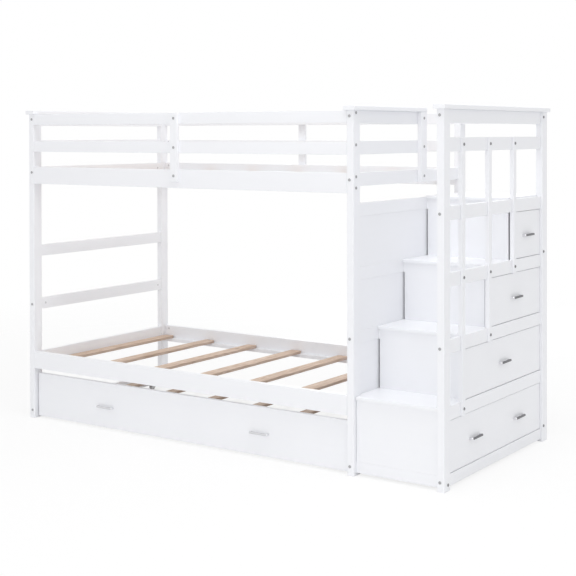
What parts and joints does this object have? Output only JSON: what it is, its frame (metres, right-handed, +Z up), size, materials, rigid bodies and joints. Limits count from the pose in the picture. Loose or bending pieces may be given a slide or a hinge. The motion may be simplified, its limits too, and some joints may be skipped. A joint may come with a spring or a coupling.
{
  "type": "bunk bed with trundle",
  "caption": "White wooden bunk bed with slatted bunks, guard rails, a side staircase with drawers in its steps, and a wheeled pull-out trundle bed underneath.",
  "frame": {"origin": "on the floor under the middle of the whole part", "axes": "+X along the bed towards the stairs, +Y from the open front to the wall side, +Z up"},
  "size_m": [2.434, 1.097, 1.59],
  "materials": {
    "white_paint": "satin white paint",
    "pine": "bare pine",
    "satin_nickel": "satin nickel plate",
    "bolt_steel": "zinc plate",
    "caster_steel": "zinc plate",
    "wheel_plastic": "matt grey"
  },
  "bodies": {
    "frame": {"post_left_front": "white_paint", "post_left_back": "white_paint", "post_right_front": "white_paint", "post_right_back": "white_paint", "post_stair_front": "white_paint", "post_stair_back": "white_paint", "gate_post": "white_paint", "cap_left": "white_paint", "cap_right": "white_paint", "cap_stair": "white_paint", "left_end_rails": "white_paint", "right_end_rails": "white_paint", "right_guard_rails": "white_paint", "stair_end_rails": "white_paint", "infill_panels": "white_paint", "front_guard_rails": "white_paint", "back_guard_rails": "white_paint", "upper_side_rail_front": "white_paint", "upper_side_rail_back": "white_paint", "lower_side_rail_front": "white_paint", "lower_side_rail_back": "white_paint", "guard_strips": "white_paint", "slat_ledgers": "white_paint", "upper_slats": "pine", "lower_slats": "pine", "stair_base_rail": "white_paint", "risers": "white_paint", "tread_1": "white_paint", "tread_2": "white_paint", "tread_3": "white_paint", "tread_4": "white_paint", "cross_rails": "white_paint", "stair_back_rails": "white_paint", "balusters": "white_paint", "drawer_runners": "white_paint", "frame_bolts": "bolt_steel"},
    "trundle": {"trundle_front": "white_paint", "trundle_sides": "white_paint", "trundle_ledgers": "white_paint", "trundle_slats": "pine", "trundle_pulls": "satin_nickel", "caster_brackets": "caster_steel", "caster_axles": "caster_steel"},
    "wheel_front_left": {"caster_wheel_front_left": "wheel_plastic"},
    "wheel_front_right": {"caster_wheel_front_right": "wheel_plastic"},
    "wheel_back_left": {"caster_wheel_back_left": "wheel_plastic"},
    "wheel_back_right": {"caster_wheel_back_right": "wheel_plastic"},
    "drawer_1": {"drawer_1_front": "white_paint", "drawer_1_box": "white_paint", "drawer_1_pull": "satin_nickel"},
    "drawer_2": {"drawer_2_front": "white_paint", "drawer_2_box": "white_paint", "drawer_2_pull": "satin_nickel"},
    "drawer_3": {"drawer_3_front": "white_paint", "drawer_3_box": "white_paint", "drawer_3_pull": "satin_nickel"},
    "drawer_4": {"drawer_4_front": "white_paint", "drawer_4_box": "white_paint", "drawer_4_pull": "satin_nickel"}
  },
  "joints": [
    {"name": "trundle_slide", "type": "slide", "parent": "frame", "child": "trundle", "axis": [0, -1, 0], "range_m": [0, 0.95]},
    {"name": "wheel_front_left_spin", "type": "hinge", "parent": "trundle", "child": "wheel_front_left", "pos_m": [-1.13, -0.398, 0.02], "axis": [1, 0, 0], "range_deg": [0, 2722]},
    {"name": "wheel_front_right_spin", "type": "hinge", "parent": "trundle", "child": "wheel_front_right", "pos_m": [0.696, -0.398, 0.02], "axis": [1, 0, 0], "range_deg": [0, 2722]},
    {"name": "wheel_back_left_spin", "type": "hinge", "parent": "trundle", "child": "wheel_back_left", "pos_m": [-1.13, 0.342, 0.02], "axis": [1, 0, 0], "range_deg": [0, 2722]},
    {"name": "wheel_back_right_spin", "type": "hinge", "parent": "trundle", "child": "wheel_back_right", "pos_m": [0.696, 0.342, 0.02], "axis": [1, 0, 0], "range_deg": [0, 2722]},
    {"name": "drawer_1_slide", "type": "slide", "parent": "frame", "child": "drawer_1", "axis": [1, 0, 0], "range_m": [0, 0.3]},
    {"name": "drawer_2_slide", "type": "slide", "parent": "frame", "child": "drawer_2", "axis": [1, 0, 0], "range_m": [0, 0.3]},
    {"name": "drawer_3_slide", "type": "slide", "parent": "frame", "child": "drawer_3", "axis": [1, 0, 0], "range_m": [0, 0.3]},
    {"name": "drawer_4_slide", "type": "slide", "parent": "frame", "child": "drawer_4", "axis": [1, 0, 0], "range_m": [0, 0.3]}
  ],
  "couplings": [
    {"joint": "wheel_front_left_spin", "follows": "trundle_slide", "rad_per_m": 50},
    {"joint": "wheel_front_right_spin", "follows": "trundle_slide", "rad_per_m": 50},
    {"joint": "wheel_back_left_spin", "follows": "trundle_slide", "rad_per_m": 50},
    {"joint": "wheel_back_right_spin", "follows": "trundle_slide", "rad_per_m": 50}
  ]
}
